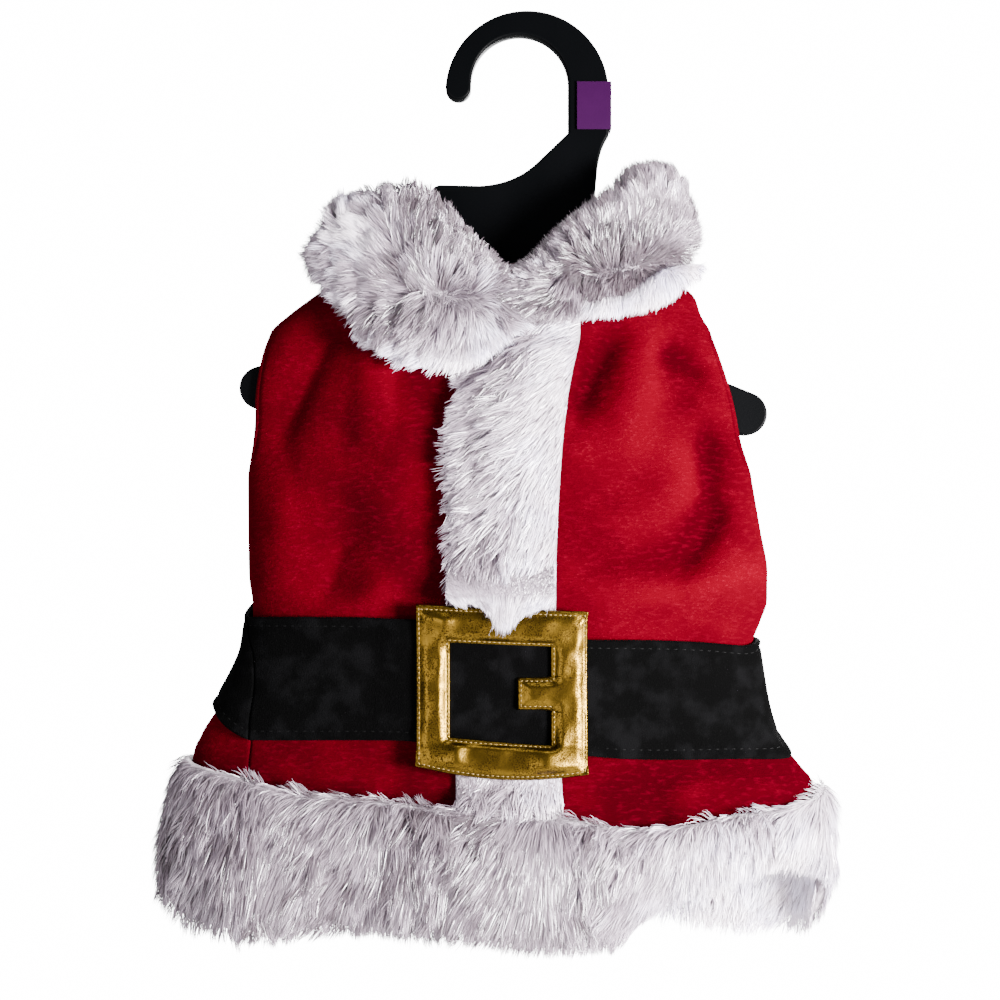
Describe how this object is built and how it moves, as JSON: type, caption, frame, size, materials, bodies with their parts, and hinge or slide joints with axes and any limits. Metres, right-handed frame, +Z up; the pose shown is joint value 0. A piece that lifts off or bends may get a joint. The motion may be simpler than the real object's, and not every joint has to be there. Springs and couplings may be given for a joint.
{
  "type": "dog santa coat on a hanger",
  "caption": "Small dog's red velour santa coat with white fur collar, strip and hem, black belt and gold buckle, on its black hanger.",
  "frame": {"origin": "the inside top of the hanger's hook, where a rod carries it", "axes": "+Z up, +X to the right as the front is seen, the coat's front towards -Y"},
  "size_m": [0.2552, 0.0867, 0.342],
  "materials": {
    "hanger_plastic": "satin moulded polystyrene, black",
    "marker_plastic": "smooth purple, bare",
    "red_velour": "crimson velour with a short nap over a fine knit",
    "white_fur": "long-pile white faux fur",
    "black_plush": "short black plush, topstitched along both edges",
    "gold_foil": "crinkled gold foil cloth, topstitched"
  },
  "bodies": {
    "root": {"hanger": "hanger_plastic", "size_marker": "marker_plastic", "front_panel": "red_velour", "back_panel": "red_velour", "placket": "white_fur", "belt_front": "black_plush", "belt_back": "black_plush", "buckle": "gold_foil", "collar_left": "white_fur", "collar_right": "white_fur", "collar_back": "white_fur", "hem_front": "white_fur", "hem_back": "white_fur"}
  },
  "joints": []
}
